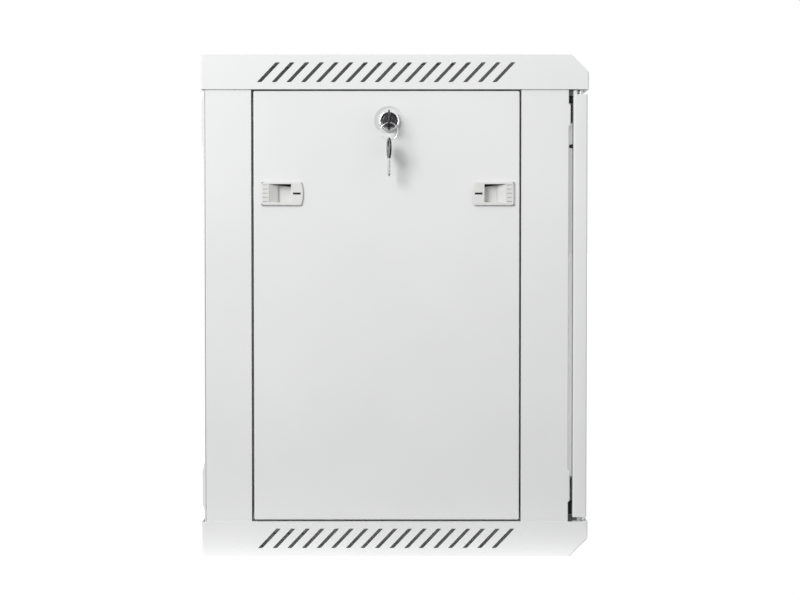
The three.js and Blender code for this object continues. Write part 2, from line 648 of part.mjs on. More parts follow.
// ---- door ----
function doorFrame() {
  const { frontY, thick, bottom, top, lip } = DOOR;
  const back = frontY + thick;
  const tray = cut(
    block([-FACE, frontY, bottom], [FACE, back, top]),
    block([-FACE + SHEET, frontY + SHEET, bottom + SHEET], [FACE - SHEET, back - SHEET, top - SHEET]),
    block([-FACE + lip, back - SHEET - 1, bottom + SHEET], [FACE - lip, back + 1, top - SHEET]),
  );
  const hingeTab = block(
    [-FACE + DOOR_TAB.x0, back - DOOR_TAB.deep, top - SHEET],
    [-FACE + DOOR_TAB.x1, back, top + DOOR_TAB.above],
  );
  const seat = lockSeat();
  const lockPlace = doorLockPlace();
  const { halfX, z0, z1 } = WINDOW;
  return cut(
    join(tray, hingeTab, placed(seat.add, lockPlace)),
    placed(seat.cut, lockPlace),
    block([-halfX, frontY - 1, z0], [halfX, frontY + SHEET + 1, z1]),
    rod("z", top - 3, top + 1, HINGE.x, HINGE.y, HINGE.hole, 12),
    rod("z", bottom - 1, bottom + 3, HINGE.x, HINGE.y, HINGE.hole, 12),
  );
}

function doorLockPlace() {
  const right = new THREE.Vector3(1, 0, 0);
  const up = new THREE.Vector3(0, 0, 1);
  const out = new THREE.Vector3(0, -1, 0);
  return new THREE.Matrix4().makeBasis(right, up, out).setPosition(DOOR_LOCK.x, DOOR.frontY, DOOR_LOCK.z);
}

function doorGlass() {
  const { halfX, z0, z1, rebate } = WINDOW;
  return block([-halfX - rebate, GLASS_Y[0], z0 - rebate], [halfX + rebate, GLASS_Y[1], z1 + rebate]);
}

// A strip screwed to the door's skin beside the glass, which holds the glass by its edge.
function glassStrip() {
  const { halfX, z0, z1, rebate } = WINDOW;
  const edge = -halfX - rebate;
  const [x0, x1] = [edge - GLASS_STRIP.out, edge + GLASS_STRIP.over];
  const [y0, y1] = [GLASS_Y[0], GLASS_Y[1] + GAP];
  return prism("z", z0 - rebate, z1 + rebate, [
    [x0, y0], [edge - GAP, y0], [edge - GAP, y1], [x1, y1], [x1, y1 + SHEET], [x0, y1 + SHEET],
  ]);
}

// A channel inside the door's corner that guides a hinge pin.
function hingeBracket([z0, z1]) {
  const [x0, x1] = [-FACE + SHEET + GAP, -FACE + 13];
  const y0 = DOOR.frontY + SHEET + GAP;
  const y1 = DOOR_BACK - SHEET - GAP;
  const channel = cut(
    block([x0, y0, z0], [x1, y1, z1]),
    block([x0 - 1, y0 + SHEET, z0 + SHEET], [x1 + 1, y1 + 1, z1 - SHEET]),
  );
  return cut(channel, rod("z", z0 - 1, z1 + 1, HINGE.x, HINGE.y, HINGE.pin + GAP + 0.1, 12));
}

// The sprung upper pin, with the collar its spring pushes on and a finger tab to pull it down by.
function upperHingePin() {
  const { z, height, radius } = HINGE_PIN_COLLAR;
  const { reach, half } = HINGE_PIN_FINGER;
  return join(
    rod("z", HINGE_BRACKET.top[0] - 2, MOUTH + 3, HINGE.x, HINGE.y, HINGE.pin, 12),
    rod("z", z, z + height, HINGE.x, HINGE.y, radius, 12),
    block([HINGE.x, HINGE.y - half, z + 1], [HINGE.x + reach, HINGE.y + half, z + height - 1]),
  );
}

// The space that the upper pin's spring takes, from the bracket's lower ear to the collar.
function upperHingeSpring() {
  const [z0, z1] = [HINGE_BRACKET.top[0] + SHEET + GAP, HINGE_PIN_COLLAR.z - GAP];
  const [inner, outer] = [HINGE.pin + GAP, HINGE_PIN_COLLAR.radius];
  const { x, y } = HINGE;
  return cut(rod("z", z0, z1, x, y, outer, 12), rod("z", z0 - 1, z1 + 1, x, y, inner, 12));
}

// The fixed lower pin: a flat collar on the bottom cover's flange carries the door.
function lowerHingePin() {
  const z = COVER_HEIGHT + GAP;
  return join(
    rod("z", COVER_HEIGHT - 5, HINGE_BRACKET.bottom[0] + 6, HINGE.x, HINGE.y, HINGE.pin, 12),
    rod("z", z, DOOR.bottom - GAP, HINGE.x, HINGE.y, LOWER_COLLAR, 16),
  );
}

// A rubber stud on the door's back, which meets the front pillar when the door is shut.
function doorBumper() {
  const y = DOOR_BACK + GAP;
  return rod("y", y, y + BUMPER.long, -BUMPER.x, BUMPER.z, BUMPER.radius, 12);
}

// A foam pad on the door's back beside a hinge pin.
function doorPad([z0, z1]) {
  const y = DOOR_BACK + GAP;
  return block([DOOR_PAD.x0, y, z0], [DOOR_PAD.x1, y + DOOR_PAD.thick, z1]);
}

// A threaded stud for the earth lead, with the nut that fixes it to the floor and the nut for the lead.
function earthStud() {
  const { x, y, radius, top, corner, nut, upperNut } = EARTH_STUD;
  return join(
    rod("z", 0.1, top, x, y, radius, 12),
    rod("z", SHEET + GAP, SHEET + GAP + nut, x, y, corner, 6),
    rod("z", upperNut, upperNut + nut, x, y, corner, 6),
  );
}

// ---- assembly ----
const cabinet = new THREE.Group();

function sideParts(side) {
  const group = new THREE.Group();
  group.add(
    mesh(`${side}_front_pillar`, frontPillar(), paint),
    mesh(`${side}_rear_pillar`, rearPillar(), paint),
    mesh(`${side}_top_rail_bracket`, railBracket(BRACKET.top), zinc),
    mesh(`${side}_bottom_rail_bracket`, railBracket(BRACKET.bottom), zinc),
    mesh(`${side}_rack_rail`, rackRail(), zinc),
    mesh(`${side}_top_rail_bolt`, railBolt(BRACKET.top), zinc),
    mesh(`${side}_bottom_rail_bolt`, railBolt(BRACKET.bottom), zinc),
    mesh(`${side}_door_bumper`, doorBumper(), rubber),
    mesh(`${side}_glass_strip`, glassStrip(), zinc),
    mesh(`${side}_side_panel`, sidePanel(), paint),
  );
  for (const { name, y, toEdge, mirrored } of LATCHES) {
    const place = new THREE.Group();
    place.applyMatrix4(onLeftSide(y, LATCH.z, mirrored));
    place.add(mesh(`${side}_${name}`, latch(toEdge), plastic));
    group.add(place);
  }
  const lockPlace = new THREE.Group();
  lockPlace.applyMatrix4(onLeftSide(SIDE_LOCK.y, SIDE_LOCK.z));
  lockPlace.add(lock(side, 0, CAM_DEPTH.side));
  if (side === "left") lockPlace.add(...keys());
  group.add(lockPlace);
  return group;
}

const rightSide = sideParts("right");
rightSide.scale.x = -1;
const doorLock = new THREE.Group();
doorLock.applyMatrix4(doorLockPlace());
doorLock.add(lock("door", -Math.PI / 2, CAM_DEPTH.door));

cabinet.add(
  mesh("top_cover", topCover(), paint),
  mesh("bottom_cover", bottomCover(), paint),
  mesh("top_cable_plate", entryPlate(ROOF_PLATE_Z, 1), paint),
  mesh("bottom_cable_plate", entryPlate(SHEET + GAP, -1), paint),
  mesh("fan_plate", fanPlate(), paint),
  mesh("back_panel", backPanel(), paint),
  mesh("door_frame", doorFrame(), paint),
  mesh("door_glass", doorGlass(), glass),
  mesh("upper_hinge_bracket", hingeBracket(HINGE_BRACKET.top), zinc),
  mesh("lower_hinge_bracket", hingeBracket(HINGE_BRACKET.bottom), zinc),
  mesh("upper_hinge_pin", upperHingePin(), zinc),
  mesh("upper_hinge_spring", upperHingeSpring(), zinc),
  mesh("lower_hinge_pin", lowerHingePin(), zinc),
  mesh("upper_door_pad", doorPad(DOOR_PAD.top), rubber),
  mesh("lower_door_pad", doorPad(DOOR_PAD.bottom), rubber),
  mesh("earth_stud", earthStud(), zinc),
  doorLock,
  sideParts("left"),
  rightSide,
);

export default cabinet;
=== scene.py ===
"""The looks of a wall-mounted 19 inch network cabinet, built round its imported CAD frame.

The frame is in metres, with +Z up, the glass door at -Y and the side panel that holds the key at -X.
Pieces are modelled in millimetres and scaled as they are placed, so lengths below are in millimetres
unless a comment says otherwise.
"""

import json
import math

import bmesh
import bpy
from mathutils import Matrix, Vector


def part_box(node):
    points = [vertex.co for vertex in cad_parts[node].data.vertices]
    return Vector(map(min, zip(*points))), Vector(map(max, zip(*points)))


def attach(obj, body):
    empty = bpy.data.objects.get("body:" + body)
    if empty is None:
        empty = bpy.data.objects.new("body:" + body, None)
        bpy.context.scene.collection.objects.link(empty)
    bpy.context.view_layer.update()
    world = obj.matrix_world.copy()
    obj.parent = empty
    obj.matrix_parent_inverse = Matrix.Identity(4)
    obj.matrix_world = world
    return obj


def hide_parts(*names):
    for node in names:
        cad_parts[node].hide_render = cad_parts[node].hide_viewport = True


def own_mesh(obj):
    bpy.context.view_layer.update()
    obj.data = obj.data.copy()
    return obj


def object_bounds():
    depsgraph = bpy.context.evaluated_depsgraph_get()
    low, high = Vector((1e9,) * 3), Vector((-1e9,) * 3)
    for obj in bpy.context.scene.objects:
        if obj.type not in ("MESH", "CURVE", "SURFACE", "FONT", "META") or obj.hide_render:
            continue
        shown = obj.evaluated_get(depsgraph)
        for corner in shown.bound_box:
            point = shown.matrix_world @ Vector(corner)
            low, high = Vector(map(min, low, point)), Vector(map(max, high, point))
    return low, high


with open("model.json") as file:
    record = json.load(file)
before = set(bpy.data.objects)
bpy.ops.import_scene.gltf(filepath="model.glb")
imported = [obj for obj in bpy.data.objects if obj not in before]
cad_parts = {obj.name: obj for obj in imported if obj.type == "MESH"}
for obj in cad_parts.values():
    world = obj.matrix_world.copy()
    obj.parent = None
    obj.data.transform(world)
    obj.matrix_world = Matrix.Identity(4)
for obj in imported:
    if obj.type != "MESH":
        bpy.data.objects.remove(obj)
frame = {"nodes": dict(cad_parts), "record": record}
cad_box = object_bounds()

MM = 0.001

# ---- driving dimensions ----
SHEET = 1.2  # covers, door and side panels
FRAME_SHEET = 1.5  # pillars and rail brackets
RAIL_SHEET = 2.0
GAP = 0.3  # between pieces that touch

LOCK = {"front": 3.0, "head": 10.4, "barrel": 9.2, "bore": 6.8, "plug": 6.5, "plug_front": 2.0, "dish": 2.0}
CAM = {"thick": 2.0, "length": 38.0, "half": 7.0, "hub": 8.5, "square": 3.8}
NUT = {"corner": 13.6, "bore": 9.6, "thick": 3.5}
KEY = {"bow": 10.2, "hole": 3.6, "offset": 5.0, "blade": 17.5, "half": 3.4, "thick": 1.8}
KEY_CUTS = {"first": 2.6, "pitch": 2.2, "depths": (0.9, 0.45, 1.1, 0.6, 0.9, 0.35)}
SPARE_KEY_TURN = math.radians(10)
RING = {"radius": 8.6, "wire": 0.3}
LATCH = {
    "inner_end": 21.5, "short": 0.8, "outer_end": 21.0,
    "half": 11.9, "bow": 1.9, "front": 2.3, "edge": 1.0,
}
RECESS = {
    "x0": -8.6, "step": 3.4, "rise": 3.2, "x1": 13.2,
    "y0": -8.6, "y1": 9.4, "floor": -6.0, "wall": 1.2,
}
RECESS_SLOT = 2.6  # the height of the open wedge along the top of a latch's finger recess
MARK = {"x0": -18.2, "x1": -10.6, "half": 0.95, "deep": 0.8}  # the dark inlaid dash on a latch
RIBS = {"count": 5, "pitch": 4.1, "half": 0.55, "deep": 0.9, "x0": 14.3, "x1": 18.9}
TONGUE = {"half": 7.0, "z0": -7.2, "z1": -5.0}
HINGE_PIN_RADIUS = 2.0

BODY_OF = {
    node: body
    for body, nodes in frame["record"]["behaviour"]["bodies"].items()
    for node in nodes
}


# ---- materials ----
def material_with(name, values):
    """A material whose uniform values are set on its Principled shader's own sockets."""
    material = bpy.data.materials.new(name)
    material.use_nodes = True
    shader = material.node_tree.nodes["Principled BSDF"]
    for socket, value in values.items():
        shader.inputs[socket].default_value = value
    return material, material.node_tree, shader


def noise(tree, scale, detail=2.0, roughness=0.5, stretch=(1, 1, 1)):
    """Noise over the object's own coordinates, in features per metre, stretched along an axis."""
    place = tree.nodes.new("ShaderNodeTexCoord")
    mapping = tree.nodes.new("ShaderNodeMapping")
    mapping.inputs["Scale"].default_value = stretch
    texture = tree.nodes.new("ShaderNodeTexNoise")
    texture.inputs["Scale"].default_value = scale
    texture.inputs["Detail"].default_value = detail
    texture.inputs["Roughness"].default_value = roughness
    tree.links.new(place.outputs["Object"], mapping.inputs["Vector"])
    tree.links.new(mapping.outputs["Vector"], texture.inputs["Vector"])
    return texture.outputs["Fac"]


def spread(tree, factor, low, high):
    """A number that runs from low to high over the middle of a noise's range."""
    node = tree.nodes.new("ShaderNodeMapRange")
    node.inputs["From Min"].default_value = 0.3
    node.inputs["From Max"].default_value = 0.7
    node.inputs["To Min"].default_value = low
    node.inputs["To Max"].default_value = high
    tree.links.new(factor, node.inputs["Value"])
    return node.outputs["Result"]


def tint(tree, factor, low, high):
    """A colour that runs from low to high over the middle of a noise's range."""
    node = tree.nodes.new("ShaderNodeMix")
    node.data_type = "RGBA"
    node.inputs[6].default_value = (*low, 1)
    node.inputs[7].default_value = (*high, 1)
    tree.links.new(spread(tree, factor, 0, 1), node.inputs[0])
    return node.outputs[2]


def bump(tree, height, micrometres, below=None):
    """A bump whose full height is given in micrometres, laid over the one below it."""
    node = tree.nodes.new("ShaderNodeBump")
    node.inputs["Strength"].default_value = 1.0
    node.inputs["Distance"].default_value = micrometres * 1e-6
    tree.links.new(height, node.inputs["Height"])
    if below:
        tree.links.new(below, node.inputs["Normal"])
    return node.outputs["Normal"]


def powder_coat():
    """Light grey polyester powder: an orange-peel surface with a fine speckle."""
    material, tree, shader = material_with("powder_coat", {"Specular IOR Level": 0.42})
    patches = noise(tree, 7, 3)
    peel = noise(tree, 900, 2)
    speckle = noise(tree, 3600, 1)
    colour = tint(tree, patches, (0.585, 0.591, 0.588), (0.61, 0.616, 0.613))
    tree.links.new(colour, shader.inputs["Base Color"])
    tree.links.new(spread(tree, peel, 0.46, 0.56), shader.inputs["Roughness"])
    rough = bump(tree, speckle, 6)
    tree.links.new(bump(tree, peel, 26, rough), shader.inputs["Normal"])
    return material


def zinc_steel():
    """Zinc-plated steel: a mottled bright grey with fine rolling lines along the sheet."""
    material, tree, shader = material_with("zinc_steel", {"Metallic": 1.0})
    mottle = noise(tree, 160, 4, 0.6)
    lines = noise(tree, 500, 3, 0.6, (1, 1, 0.03))
    tree.links.new(tint(tree, mottle, (0.56, 0.58, 0.6), (0.72, 0.73, 0.72)), shader.inputs["Base Color"])
    tree.links.new(spread(tree, lines, 0.26, 0.42), shader.inputs["Roughness"])
    tree.links.new(bump(tree, lines, 5), shader.inputs["Normal"])
    return material


def spring_steel():
    """Hard-drawn wire, darker than the plated sheet."""
    material, tree, shader = material_with("spring_steel", {"Metallic": 1.0})
    drawn = noise(tree, 2500, 2)
    tree.links.new(tint(tree, drawn, (0.3, 0.3, 0.31), (0.42, 0.42, 0.43)), shader.inputs["Base Color"])
    tree.links.new(spread(tree, drawn, 0.22, 0.34), shader.inputs["Roughness"])
    return material


def chrome():
    """Bright chrome plating with a slight haze."""
    material, tree, shader = material_with("chrome", {"Metallic": 1.0})
    haze = noise(tree, 700, 3)
    tree.links.new(tint(tree, haze, (0.82, 0.83, 0.85), (0.88, 0.88, 0.89)), shader.inputs["Base Color"])
    tree.links.new(spread(tree, haze, 0.05, 0.1), shader.inputs["Roughness"])
    return material


def dark_nickel():
    """The dark plating of the lock plugs and the keys' bows, worn by handling, with fine scratches."""
    material, tree, shader = material_with("dark_nickel", {"Metallic": 1.0})
    wear = noise(tree, 450, 4, 0.65)
    scratches = noise(tree, 1800, 2, 0.6, (1, 1, 0.12))
    tree.links.new(tint(tree, wear, (0.02, 0.02, 0.022), (0.14, 0.138, 0.145)), shader.inputs["Base Color"])
    tree.links.new(spread(tree, scratches, 0.16, 0.32), shader.inputs["Roughness"])
    tree.links.new(bump(tree, scratches, 4), shader.inputs["Normal"])
    return material


def latch_plastic():
    """Moulded off-white plastic with a spark-eroded grain."""
    material, tree, shader = material_with("latch_plastic", {"Specular IOR Level": 0.45})
    flow = noise(tree, 60, 2)
    grain = noise(tree, 4500, 2)
    tree.links.new(tint(tree, flow, (0.53, 0.53, 0.523), (0.56, 0.56, 0.553)), shader.inputs["Base Color"])
    tree.links.new(spread(tree, grain, 0.36, 0.46), shader.inputs["Roughness"])
    tree.links.new(bump(tree, grain, 6), shader.inputs["Normal"])
    return material


def rubber():
    """Matt black rubber with an open, slightly dusty skin."""
    material, tree, shader = material_with("rubber", {"Specular IOR Level": 0.3})
    dust = noise(tree, 350, 3)
    skin = noise(tree, 2600, 3)
    tree.links.new(tint(tree, dust, (0.01, 0.01, 0.011), (0.024, 0.024, 0.025)), shader.inputs["Base Color"])
    tree.links.new(spread(tree, skin, 0.66, 0.84), shader.inputs["Roughness"])
    tree.links.new(bump(tree, skin, 30), shader.inputs["Normal"])
    return material


def door_glass():
    """Grey tempered glass, with faint smudges."""
    material, tree, shader = material_with("door_glass", {"Alpha": 0.34, "Specular IOR Level": 0.6})
    smudges = noise(tree, 14, 4, 0.6)
    tree.links.new(tint(tree, smudges, (0.16, 0.17, 0.175), (0.2, 0.21, 0.215)), shader.inputs["Base Color"])
    tree.links.new(spread(tree, smudges, 0.01, 0.05), shader.inputs["Roughness"])
    return material


FINISHES = {
    make.__name__: make()
    for make in (
        powder_coat, zinc_steel, spring_steel, chrome, dark_nickel, latch_plastic, rubber, door_glass,
    )
}


# ---- meshes ----
def mesh_from(bm):
    """Turns a bmesh into a mesh with its faces pointing out."""
    bmesh.ops.recalc_face_normals(bm, faces=bm.faces)
    mesh = bpy.data.meshes.new("mesh")
    bm.to_mesh(mesh)
    bm.free()
    return mesh


def turned(profile_at, segments=72):
    """A solid turned about z. profile_at(angle) lists its (radius, z) points, the same number each time.

    A profile that starts on the axis also ends on it, and any other closes on itself.
    """
    bm = bmesh.new()
    poles = {}
    columns = []
    for step in range(segments):
        angle = 2 * math.pi * step / segments
        column = []
        for index, (radius, z) in enumerate(profile_at(angle)):
            if radius == 0:
                if index not in poles:
                    poles[index] = bm.verts.new((0, 0, z))
                column.append(poles[index])
            else:
                column.append(bm.verts.new((radius * math.cos(angle), radius * math.sin(angle), z)))
        columns.append(column)
    count = len(columns[0])
    spans = count - 1 if poles else count
    for here, there in zip(columns, columns[1:] + columns[:1]):
        for k in range(spans):
            after = (k + 1) % count
            corners = list(dict.fromkeys((here[k], there[k], there[after], here[after])))
            if len(corners) > 2:
                bm.faces.new(corners)
    return mesh_from(bm)


def lathe(profile, segments=72):
    return turned(lambda angle: profile, segments)


def prism(points, z0, z1):
    """A flat outline of (x, y) points, extruded from z0 to z1."""
    bm = bmesh.new()
    low = [bm.verts.new((x, y, z0)) for x, y in points]
    high = [bm.verts.new((x, y, z1)) for x, y in points]
    bm.faces.new(low)
    bm.faces.new(high)
    for k in range(len(points)):
        after = (k + 1) % len(points)
        bm.faces.new((low[k], low[after], high[after], high[k]))
    return mesh_from(bm)


def block(low, high):
    (x0, y0, z0), (x1, y1, z1) = low, high
    return prism([(x0, y0), (x1, y0), (x1, y1), (x0, y1)], z0, z1)


def arc(x, y, radius, start, end, steps):
    """Points round a circle's middle, from one angle to another, in degrees."""
    return [
        (x + radius * math.cos(math.radians(a)), y + radius * math.sin(math.radians(a)))
        for a in (start + (end - start) * k / steps for k in range(steps + 1))
    ]


def tube(points, radius, sides=12, closed=False):
    """A round wire along a line of points, with rounded caps where it is open."""
    curve = bpy.data.curves.new("wire", "CURVE")
    curve.dimensions = "3D"
    curve.bevel_depth = radius
    curve.bevel_resolution = sides // 4
    curve.use_fill_caps = True
    spline = curve.splines.new("POLY")
    spline.points.add(len(points) - 1)
    for point, place in zip(spline.points, points):
        point.co = (*place, 1)
    spline.use_cyclic_u = closed
    wire = bpy.data.objects.new("wire", curve)
    mesh = bpy.data.meshes.new_from_object(wire)
    bpy.data.objects.remove(wire)
    bm = bmesh.new()
    bm.from_mesh(mesh)
    bmesh.ops.remove_doubles(bm, verts=bm.verts, dist=1e-4)
    return mesh_from(bm)


def combined(operation, mesh, tools):
    """Joins solids to one, or cuts them out of it."""
    made = []
    for solid in (mesh, *tools):
        made.append(bpy.data.objects.new("solid", solid))
        bpy.context.scene.collection.objects.link(made[-1])
    base = made[0]
    for tool in made[1:]:
        modifier = base.modifiers.new("boolean", "BOOLEAN")
        modifier.operation = operation
        modifier.solver = "EXACT"
        modifier.object = tool
    bpy.context.view_layer.update()
    result = bpy.data.meshes.new_from_object(base.evaluated_get(bpy.context.evaluated_depsgraph_get()))
    for solid in made:
        bpy.data.objects.remove(solid)
    return result


def joined(mesh, *tools):
    return combined("UNION", mesh, tools)


def cut(mesh, *tools):
    return combined("DIFFERENCE", mesh, tools)


def gathered(*meshes):
    """Several separate solids as one mesh."""
    bm = bmesh.new()
    for mesh in meshes:
        bm.from_mesh(mesh)
    return mesh_from(bm)


def moved(mesh, x=0.0, y=0.0, z=0.0, turn=0.0, axis="Z"):
    """Turns a mesh about an axis through the origin, in degrees, and then shifts it."""
    mesh.transform(Matrix.Translation((x, y, z)) @ Matrix.Rotation(math.radians(turn), 4, axis))
    return mesh


# ---- pieces ----
def shown(name, mesh, finish, body, place=Matrix()):
    """Scales a mesh from millimetres into the frame and makes a piece of it that rides on a body."""
    mesh.transform(Matrix.Scale(MM, 4) @ place)
    if place.determinant() < 0:
        mesh.flip_normals()
    return piece_of(name, mesh, finish, body)


def piece_of(name, mesh, finish, body):
    mesh.shade_smooth()
    mesh.materials.clear()
    mesh.materials.append(FINISHES[finish])
    mesh.name = name
    piece = bpy.data.objects.new(name, mesh)
    bpy.context.scene.collection.objects.link(piece)
    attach(piece, body)
    return piece


def stand_in(node, mesh, finish, place=Matrix()):
    """A finished piece for a CAD node, on the node's own body."""
    piece = shown(f"{node}_finished", mesh, finish, BODY_OF[node], place)
    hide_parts(node)
    return piece


def weighted_normals(piece):
    modifier = piece.modifiers.new("flat faces", "WEIGHTED_NORMAL")
    modifier.weight = 100
    return piece


def softened(piece, radius, angle=32, segments=3):
    """Rounds every edge that is sharper than an angle."""
    modifier = piece.modifiers.new("edges", "BEVEL")
    modifier.width = radius * MM
    modifier.segments = segments
    modifier.limit_method = "ANGLE"
    modifier.angle_limit = math.radians(angle)
    modifier.use_clamp_overlap = False
    return weighted_normals(piece)


# ---- sheet metal ----
def width_beside(loop, share):
    """How wide a face is, square to one of its edges, at a share of the edge's length."""
    start, end = loop.vert.co, loop.link_loop_next.vert.co
    origin = start.lerp(end, share)
    along = (end - start).normalized()
    inward = loop.face.normal.cross(along)
    nearest = math.inf
    for other in loop.face.loops:
        a, b = other.vert.co - origin, other.link_loop_next.vert.co - origin
        a_along, b_along = a.dot(along), b.dot(along)
        if other is loop or (a_along > 0) == (b_along > 0):
            continue
        share_across = a_along / (a_along - b_along)
        across = a.lerp(b, share_across).dot(inward)
        if across > 1e-6:
            nearest = min(nearest, across)
    return nearest


def edge_radius(edge, sheet, bend):
    """The radius of a sheet-metal edge, in metres: a bend's, or less where a face beside it is narrow."""
    shares = (0.03, 0.35, 0.65, 0.97)
    narrowest = min(width_beside(loop, share) for loop in edge.link_loops for share in shares)
    widest = bend * MM if edge.is_convex else max(bend - sheet, 0.3) * MM
    return min(widest, narrowest * 0.28)


def sheet_metal(node, finish, sheet, bend=2.0, segments=3):
    """A CAD node's sheet metal with its bends rounded and its cut edges broken."""
    bm = bmesh.new()
    bm.from_mesh(frame["nodes"][node].data)
    bmesh.ops.remove_doubles(bm, verts=bm.verts, dist=1e-6)
    bmesh.ops.dissolve_limit(bm, angle_limit=math.radians(0.4), verts=bm.verts, edges=bm.edges)
    bm.normal_update()
    weights = bm.edges.layers.float.new("bevel_weight_edge")
    for edge in bm.edges:
        if edge.is_manifold and edge.calc_face_angle() > math.radians(26):
            edge[weights] = edge_radius(edge, sheet, bend) / (bend * MM)
    piece = piece_of(f"{node}_finished", mesh_from(bm), finish, BODY_OF[node])
    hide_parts(node)
    modifier = piece.modifiers.new("bends", "BEVEL")
    modifier.limit_method = "WEIGHT"
    modifier.width = bend * MM
    modifier.segments = segments
    modifier.use_clamp_overlap = False
    return weighted_normals(piece)


# ---- fasteners ----
def thread(radius, z0, z1, pitch=1.0):
    """The (radius, z) outline of a screw thread, drawn as rings."""
    turns = max(1, round((z1 - z0) / pitch))
    step = (z1 - z0) / turns
    points = []
    for turn in range(turns):
        points += [(radius, z0 + turn * step), (radius - 0.3 * pitch, z0 + (turn + 0.5) * step)]
    return points + [(radius, z1)]


def hexagon(angle, corner):
    """The distance from a hexagon's middle to its side. Its flats face along x."""
    sector = math.pi / 3
    return corner * math.cos(sector / 2) / math.cos((angle + sector / 2) % sector - sector / 2)


def hex_rows(angle, corner, z0, z1):
    """A hexagon's sides from z0 to z1, chamfered the way a nut is turned."""
    edge = corner * math.cos(math.pi / 6) - 0.15
    fall = (hexagon(angle, corner) - edge) * 0.55
    side = hexagon(angle, corner)
    return [(edge, z0), (side, z0 + fall), (side, z1 - fall), (edge, z1)]


def hex_nut(corner, bore, z0, z1):
    return turned(lambda angle: [(bore, z0 + 0.4), (bore + 0.5, z0), *hex_rows(angle, corner, z0, z1),
                                 (bore + 0.5, z1), (bore, z1 - 0.4)])


def rail_bolt(node, side):
    """A hexagon bolt and its nut, which clamp a rail to its bracket. Its head bears at z = 0."""
    head, length, radius = 3.6, 7.7, 3.0
    nut = (4.4, 7.4)
    bolt = turned(lambda angle: [
        (0, -head), *hex_rows(angle, 5.6, -head, 0), (radius, 0),
        *thread(radius, 0.2, length - 0.6), (radius - 0.6, length), (0, length),
    ])
    mesh = gathered(bolt, hex_nut(5.8, radius + 0.1, *nut))
    return weighted_normals(stand_in(node, mesh, "zinc_steel", side_place(node, side, length)))


def earth_stud(node):
    """The threaded stud with its fixing nut and terminal nut, all plated."""
    low, high = box_of(node)
    x, y = (low.x + high.x) / 2, (low.y + high.y) / 2
    radius = 3.0
    stud = lathe([
        (0, 0.1), (radius - 0.5, 0.1), *thread(radius, 0.8, high.z - 0.6),
        (radius - 0.7, high.z), (0, high.z),
    ])
    nuts = [hex_nut(5.7, radius + 0.1, z, z + 5) for z in (1.5, 12.0)]
    place = Matrix.Translation((x, y, 0))
    return weighted_normals(stand_in(node, gathered(stud, *nuts), "zinc_steel", place))


# ---- places ----
def box_of(node):
    """A CAD node's lowest and highest corner in millimetres."""
    low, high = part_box(node)
    return low / MM, high / MM


def side_place(node, side, standout):
    """The frame of a piece on a side: x to the front, y up and z out of the side, about the node's middle.

    z = 0 lies a standout inward of the node's outermost point.
    """
    low, high = box_of(node)
    middle = (low + high) / 2
    out = -1 if side == "left" else 1
    outermost = low.x if side == "left" else high.x
    return Matrix((
        (0, 0, out, outermost - out * standout),
        (-1, 0, 0, middle.y),
        (0, 1, 0, middle.z),
        (0, 0, 0, 1),
    ))


def door_place(node, standout):
    """The same frame for the door's lock, with x along the door."""
    low, high = box_of(node)
    middle = (low + high) / 2
    return Matrix(((1, 0, 0, middle.x), (0, 0, -1, low.y + standout), (0, 1, 0, middle.z), (0, 0, 0, 1)))


# ---- locks: z = 0 is the panel's outer face ----
def lock_body(depth):
    """A chromed barrel, threaded behind the panel, with a crowned and dished head."""
    head, barrel, bore = LOCK["head"], LOCK["barrel"], LOCK["bore"]
    seat = -LOCK["dish"] + GAP
    crown = 1.5
    return lathe([
        (bore, -depth + 0.6), (barrel - 0.5, -depth + 0.6),
        *thread(barrel, -depth + 1.2, seat - 0.4),
        (barrel, seat), (head - 0.2, seat), (head, seat + 0.2),
        *arc(head - crown, LOCK["front"] - crown, crown, 0, 90, 8),
        *arc(head - crown, LOCK["front"] - 0.9, 0.9, 90, 150, 4),
        (bore + 0.45, 2.15), (bore + 0.1, 2.0), (bore, 1.8),
    ], 96)


def lock_nut():
    top = -LOCK["dish"] - SHEET - GAP
    return hex_nut(NUT["corner"], NUT["bore"], top - NUT["thick"], top)


def lock_plug(depth):
    """The turning core: a shallow dish with a keyway in a wider recess, and a square tail for the cam."""
    radius, front = LOCK["plug"], LOCK["plug_front"]
    tail, tail_end = 3.5, -depth - CAM["thick"] - 0.4
    core = lathe([
        (0, -depth + 0.3), (radius, -depth + 0.3), (radius, front - 0.35), (radius - 0.35, front),
        (radius - 1.1, front), (radius - 1.4, front - 0.3), (0, front - 0.3),
    ])
    body = joined(core, block((-tail, -tail, tail_end), (tail, tail, -depth + 1)))
    keyway = block((-1.3, -4.5, -14.5), (1.3, 4.5, 5))
    funnel = prism([(-1.9, -4.9), (1.9, -4.9), (1.9, 4.9), (-1.9, 4.9)], front - 0.75, 5)
    screw_hole = lathe([(0, tail_end - 1), (1.9, tail_end - 1), (1.9, tail_end + 4), (0, tail_end + 4)], 32)
    return cut(body, keyway, funnel, screw_hole)


def lock_cam(depth, turn):
    """A flat steel arm on the plug's square tail, with a rounded end and a stiffening dimple."""
    length, half, hub, square = CAM["length"], CAM["half"], CAM["hub"], CAM["square"]
    waist = math.degrees(math.asin(half / hub))
    outline = [
        *arc(0, 0, hub, waist, 360 - waist, 28),
        *arc(length - 4, -half + 4, 4, -90, 0, 6),
        *arc(length - 4, half - 4, 4, 0, 90, 6),
    ]
    z0, z1 = -depth - CAM["thick"], -depth
    arm = cut(prism(outline, z0, z1), block((-square, -square, z0 - 1), (square, square, z1 + 1)))
    dimple = lathe([(0, z0 - 1), (2.4, z0 - 1), (2.4, z0 + 0.1), (1.4, z0 + 0.7), (0, z0 + 0.9)], 32)
    return moved(cut(arm, moved(dimple, x=24)), turn=turn)


